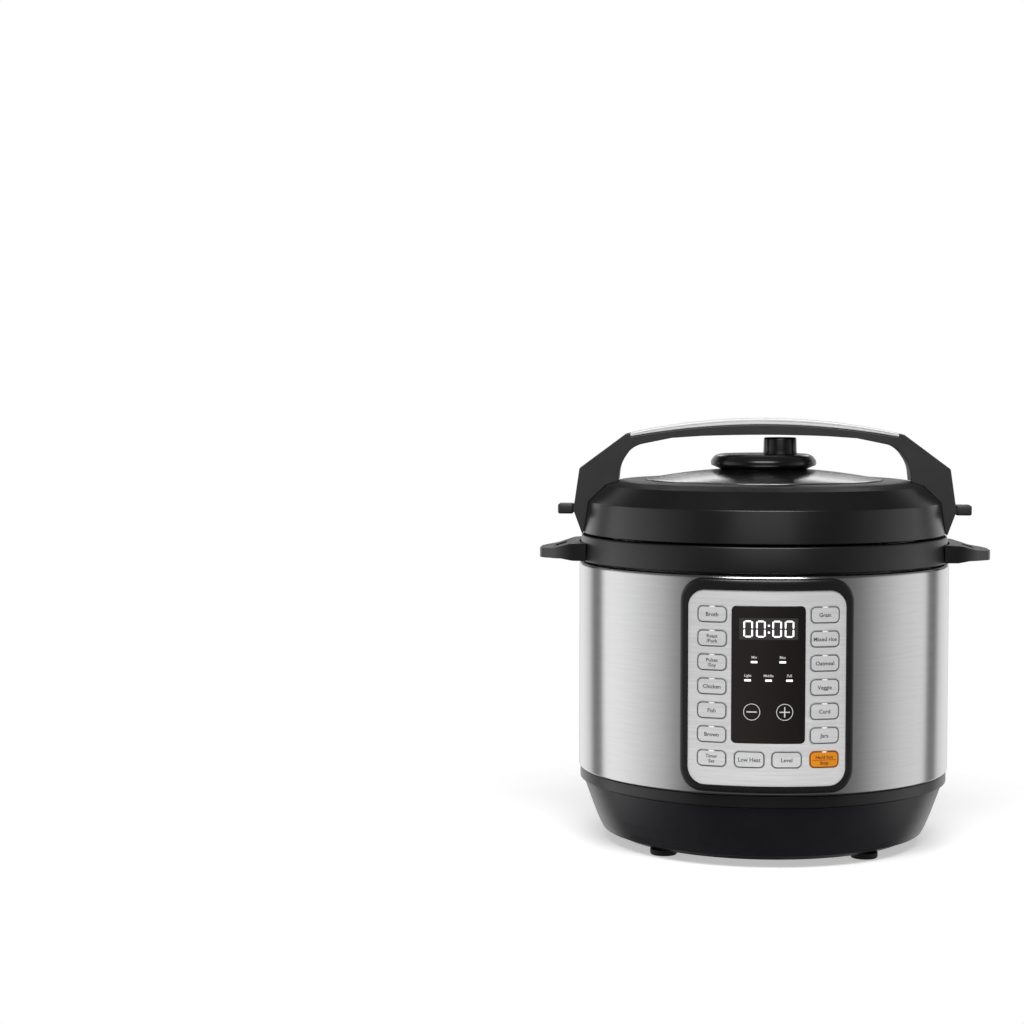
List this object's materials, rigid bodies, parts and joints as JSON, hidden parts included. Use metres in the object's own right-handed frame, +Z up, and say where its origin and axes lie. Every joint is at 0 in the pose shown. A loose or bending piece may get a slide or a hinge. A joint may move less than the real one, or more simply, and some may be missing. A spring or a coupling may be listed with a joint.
{
  "type": "electric pressure cooker",
  "caption": "Round electric pressure cooker with a brushed steel housing, curved key panel, arched lid handle and steam-release dial.",
  "frame": {"origin": "centre of the bounding box's footprint, on the surface that the feet stand on", "axes": "+X towards the right-hand side handle seen from the front, +Y towards the back, +Z up; the control panel faces -Y"},
  "size_m": [0.34, 0.308, 0.3213],
  "materials": {
    "black_plastic": "satin, fine grain",
    "gloss_black": "gloss",
    "handle_grey": "satin",
    "brushed_steel": "brushed",
    "polished_steel": "polished",
    "silver_paint": "satin silver",
    "key_orange": "satin",
    "smoked_window": "gloss",
    "clear_plastic": "clear",
    "aluminium": "matt",
    "silicone": "matt",
    "foot_rubber": "matt",
    "circuit_board": "satin"
  },
  "bodies": {
    "housing": {"foot_front_left": "foot_rubber", "foot_front_right": "foot_rubber", "foot_rear_left": "foot_rubber", "foot_rear_right": "foot_rubber", "base_shell": "black_plastic", "bottom_cover": "aluminium", "base_band": "gloss_black", "steel_housing": "brushed_steel", "upper_collar": "black_plastic", "side_handle_left": "black_plastic", "side_handle_right": "black_plastic", "outer_pot": "aluminium", "inner_pot": "brushed_steel", "heating_plate": "aluminium", "sensor_bracket": "brushed_steel", "sensor_spring": "brushed_steel", "pressure_switch": "black_plastic", "power_board": "circuit_board", "power_inlet": "black_plastic", "collector_bracket": "black_plastic", "panel_bezel": "gloss_black", "control_fascia": "silver_paint", "display_window": "smoked_window", "control_board": "circuit_board"},
    "seal": {"sealing_ring": "silicone"},
    "lid": {"lid_cover": "black_plastic", "lid_top_plate": "polished_steel", "lid_handle": "handle_grey", "handle_grip_cover": "silver_paint", "lid_fin_left": "handle_grey", "lid_fin_right": "handle_grey", "pressure_lid": "brushed_steel", "ring_rack": "brushed_steel", "anti_block_shield": "brushed_steel", "steam_pipe": "brushed_steel"},
    "steam_valve": {"steam_dial": "black_plastic", "steam_knob": "black_plastic"},
    "float": {"float_valve": "brushed_steel", "float_seal": "silicone"},
    "sensor": {"temperature_sensor": "aluminium"},
    "cup": {"condensation_cup": "clear_plastic"},
    "key_left_1": {"key_left_1": "silver_paint"},
    "key_right_1": {"key_right_1": "silver_paint"},
    "key_left_2": {"key_left_2": "silver_paint"},
    "key_right_2": {"key_right_2": "silver_paint"},
    "key_left_3": {"key_left_3": "silver_paint"},
    "key_right_3": {"key_right_3": "silver_paint"},
    "key_left_4": {"key_left_4": "silver_paint"},
    "key_right_4": {"key_right_4": "silver_paint"},
    "key_left_5": {"key_left_5": "silver_paint"},
    "key_right_5": {"key_right_5": "silver_paint"},
    "key_left_6": {"key_left_6": "silver_paint"},
    "key_right_6": {"key_right_6": "silver_paint"},
    "key_left_7": {"key_left_7": "silver_paint"},
    "key_right_7": {"key_right_7": "key_orange"},
    "key_middle_left": {"key_middle_left": "silver_paint"},
    "key_middle_right": {"key_middle_right": "silver_paint"},
    "key_minus": {"key_minus": "smoked_window"},
    "key_plus": {"key_plus": "smoked_window"}
  },
  "joints": [
    {"name": "lid_lift", "type": "slide", "parent": "housing", "child": "seal", "axis": [0, 0, 1], "range_m": [0, 0.2]},
    {"name": "lid_turn", "type": "hinge", "parent": "seal", "child": "lid", "pos_m": [0, -0.008, 0.25], "axis": [0, 0, 1], "range_deg": [0, 30]},
    {"name": "steam_valve_turn", "type": "hinge", "parent": "lid", "child": "steam_valve", "pos_m": [0, -0.008, 0.288], "axis": [0, 0, 1], "range_deg": [0, 60]},
    {"name": "float_rise", "type": "slide", "parent": "lid", "child": "float", "axis": [0, 0, 1], "range_m": [0, 0.006]},
    {"name": "sensor_press", "type": "slide", "parent": "housing", "child": "sensor", "axis": [0, 0, 1], "range_m": [-0.003, 0], "stiffness_N_per_m": 400, "springref_m": 0.003, "deforming": ["sensor_spring"]},
    {"name": "cup_pull", "type": "slide", "parent": "housing", "child": "cup", "axis": [0, 1, 0], "range_m": [0, 0.05]},
    {"name": "key_left_1_press", "type": "slide", "parent": "housing", "child": "key_left_1", "axis": [0.2677, 0.9635, 0], "range_m": [0, 0.0005], "stiffness_N_per_m": 400, "springref_m": -0.0005},
    {"name": "key_right_1_press", "type": "slide", "parent": "housing", "child": "key_right_1", "axis": [-0.2801, 0.96, 0], "range_m": [0, 0.0005], "stiffness_N_per_m": 400, "springref_m": -0.0005},
    {"name": "key_left_2_press", "type": "slide", "parent": "housing", "child": "key_left_2", "axis": [0.2677, 0.9635, 0], "range_m": [0, 0.0005], "stiffness_N_per_m": 400, "springref_m": -0.0005},
    {"name": "key_right_2_press", "type": "slide", "parent": "housing", "child": "key_right_2", "axis": [-0.2801, 0.96, 0], "range_m": [0, 0.0005], "stiffness_N_per_m": 400, "springref_m": -0.0005},
    {"name": "key_left_3_press", "type": "slide", "parent": "housing", "child": "key_left_3", "axis": [0.2677, 0.9635, 0], "range_m": [0, 0.0005], "stiffness_N_per_m": 400, "springref_m": -0.0005},
    {"name": "key_right_3_press", "type": "slide", "parent": "housing", "child": "key_right_3", "axis": [-0.2801, 0.96, 0], "range_m": [0, 0.0005], "stiffness_N_per_m": 400, "springref_m": -0.0005},
    {"name": "key_left_4_press", "type": "slide", "parent": "housing", "child": "key_left_4", "axis": [0.2677, 0.9635, 0], "range_m": [0, 0.0005], "stiffness_N_per_m": 400, "springref_m": -0.0005},
    {"name": "key_right_4_press", "type": "slide", "parent": "housing", "child": "key_right_4", "axis": [-0.2801, 0.96, 0], "range_m": [0, 0.0005], "stiffness_N_per_m": 400, "springref_m": -0.0005},
    {"name": "key_left_5_press", "type": "slide", "parent": "housing", "child": "key_left_5", "axis": [0.2677, 0.9635, 0], "range_m": [0, 0.0005], "stiffness_N_per_m": 400, "springref_m": -0.0005},
    {"name": "key_right_5_press", "type": "slide", "parent": "housing", "child": "key_right_5", "axis": [-0.2801, 0.96, 0], "range_m": [0, 0.0005], "stiffness_N_per_m": 400, "springref_m": -0.0005},
    {"name": "key_left_6_press", "type": "slide", "parent": "housing", "child": "key_left_6", "axis": [0.2677, 0.9635, 0], "range_m": [0, 0.0005], "stiffness_N_per_m": 400, "springref_m": -0.0005},
    {"name": "key_right_6_press", "type": "slide", "parent": "housing", "child": "key_right_6", "axis": [-0.2801, 0.96, 0], "range_m": [0, 0.0005], "stiffness_N_per_m": 400, "springref_m": -0.0005},
    {"name": "key_left_7_press", "type": "slide", "parent": "housing", "child": "key_left_7", "axis": [0.2677, 0.9635, 0], "range_m": [0, 0.0005], "stiffness_N_per_m": 400, "springref_m": -0.0005},
    {"name": "key_right_7_press", "type": "slide", "parent": "housing", "child": "key_right_7", "axis": [-0.2801, 0.96, 0], "range_m": [0, 0.0005], "stiffness_N_per_m": 400, "springref_m": -0.0005},
    {"name": "key_middle_left_press", "type": "slide", "parent": "housing", "child": "key_middle_left", "axis": [0.0847, 0.9964, 0], "range_m": [0, 0.0005], "stiffness_N_per_m": 400, "springref_m": -0.0005},
    {"name": "key_middle_right_press", "type": "slide", "parent": "housing", "child": "key_middle_right", "axis": [-0.097, 0.9953, 0], "range_m": [0, 0.0005], "stiffness_N_per_m": 400, "springref_m": -0.0005},
    {"name": "key_minus_press", "type": "slide", "parent": "housing", "child": "key_minus", "axis": [0.0736, 0.9973, 0], "range_m": [0, 0.0005], "stiffness_N_per_m": 400, "springref_m": -0.0005},
    {"name": "key_plus_press", "type": "slide", "parent": "housing", "child": "key_plus", "axis": [-0.086, 0.9963, 0], "range_m": [0, 0.0005], "stiffness_N_per_m": 400, "springref_m": -0.0005}
  ]
}
